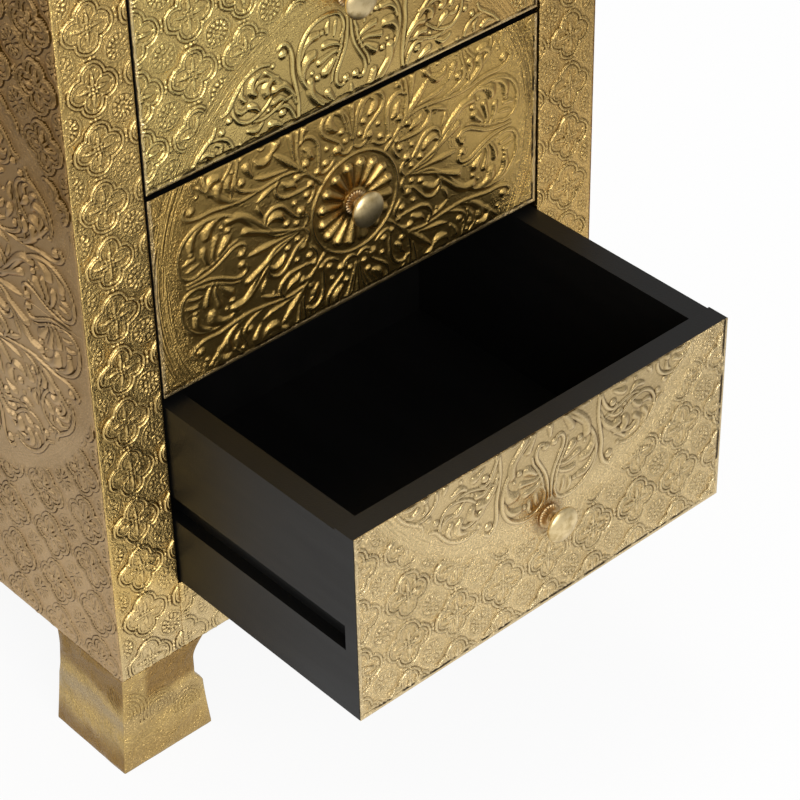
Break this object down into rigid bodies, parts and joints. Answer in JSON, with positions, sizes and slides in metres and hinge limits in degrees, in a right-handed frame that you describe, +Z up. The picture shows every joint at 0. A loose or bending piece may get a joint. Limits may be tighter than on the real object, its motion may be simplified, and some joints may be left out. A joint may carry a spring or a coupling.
{
  "type": "nightstand",
  "caption": "Bedside cabinet on moulded feet with stacked drawers that slide on wooden runners, its wooden body clad in embossed brass sheet.",
  "frame": {"origin": "on the floor, under the middle of the whole with the lowest drawer open", "axes": "+Z up, the drawers face and open along -Y, +X to the right seen from the front"},
  "size_m": [0.42, 0.4626, 0.619],
  "materials": {
    "brass_sheet": "embossed sheet, satin, aged",
    "knob_brass": "polished",
    "black_wood": "matt black paint",
    "carcass_wood": "dark stain, unpolished",
    "screw_steel": "plain zinc"
  },
  "bodies": {
    "cabinet": {"left_side": "carcass_wood", "right_side": "carcass_wood", "left_stile": "carcass_wood", "right_stile": "carcass_wood", "top_rail": "carcass_wood", "bottom_rail": "carcass_wood", "bottom_panel": "carcass_wood", "back_panel": "carcass_wood", "top_board": "carcass_wood", "left_side_sheet": "brass_sheet", "right_side_sheet": "brass_sheet", "left_stile_sheet": "brass_sheet", "right_stile_sheet": "brass_sheet", "top_rail_sheet": "brass_sheet", "bottom_rail_sheet": "brass_sheet", "top_sheet": "brass_sheet", "front_left_foot": "carcass_wood", "front_right_foot": "carcass_wood", "back_left_foot": "carcass_wood", "back_right_foot": "carcass_wood", "front_left_foot_sheet": "brass_sheet", "front_right_foot_sheet": "brass_sheet", "back_left_foot_sheet": "brass_sheet", "back_right_foot_sheet": "brass_sheet", "foot_screws": "screw_steel", "lower_left_runner": "carcass_wood", "lower_right_runner": "carcass_wood", "middle_left_runner": "carcass_wood", "middle_right_runner": "carcass_wood", "upper_left_runner": "carcass_wood", "upper_right_runner": "carcass_wood"},
    "lower_drawer": {"lower_drawer_front": "black_wood", "lower_drawer_left_side": "black_wood", "lower_drawer_right_side": "black_wood", "lower_drawer_back": "black_wood", "lower_drawer_bottom": "black_wood", "lower_drawer_sheet": "brass_sheet", "lower_knob": "knob_brass", "lower_knob_screw": "screw_steel"},
    "middle_drawer": {"middle_drawer_front": "black_wood", "middle_drawer_left_side": "black_wood", "middle_drawer_right_side": "black_wood", "middle_drawer_back": "black_wood", "middle_drawer_bottom": "black_wood", "middle_drawer_sheet": "brass_sheet", "middle_knob": "knob_brass", "middle_knob_screw": "screw_steel"},
    "upper_drawer": {"upper_drawer_front": "black_wood", "upper_drawer_left_side": "black_wood", "upper_drawer_right_side": "black_wood", "upper_drawer_back": "black_wood", "upper_drawer_bottom": "black_wood", "upper_drawer_sheet": "brass_sheet", "upper_knob": "knob_brass", "upper_knob_screw": "screw_steel"}
  },
  "joints": [
    {"name": "lower_drawer_slide", "type": "slide", "parent": "cabinet", "child": "lower_drawer", "axis": [0, -1, 0], "range_m": [-0.1665, 0.0435]},
    {"name": "middle_drawer_slide", "type": "slide", "parent": "cabinet", "child": "middle_drawer", "axis": [0, -1, 0], "range_m": [0, 0.21]},
    {"name": "upper_drawer_slide", "type": "slide", "parent": "cabinet", "child": "upper_drawer", "axis": [0, -1, 0], "range_m": [0, 0.21]}
  ]
}
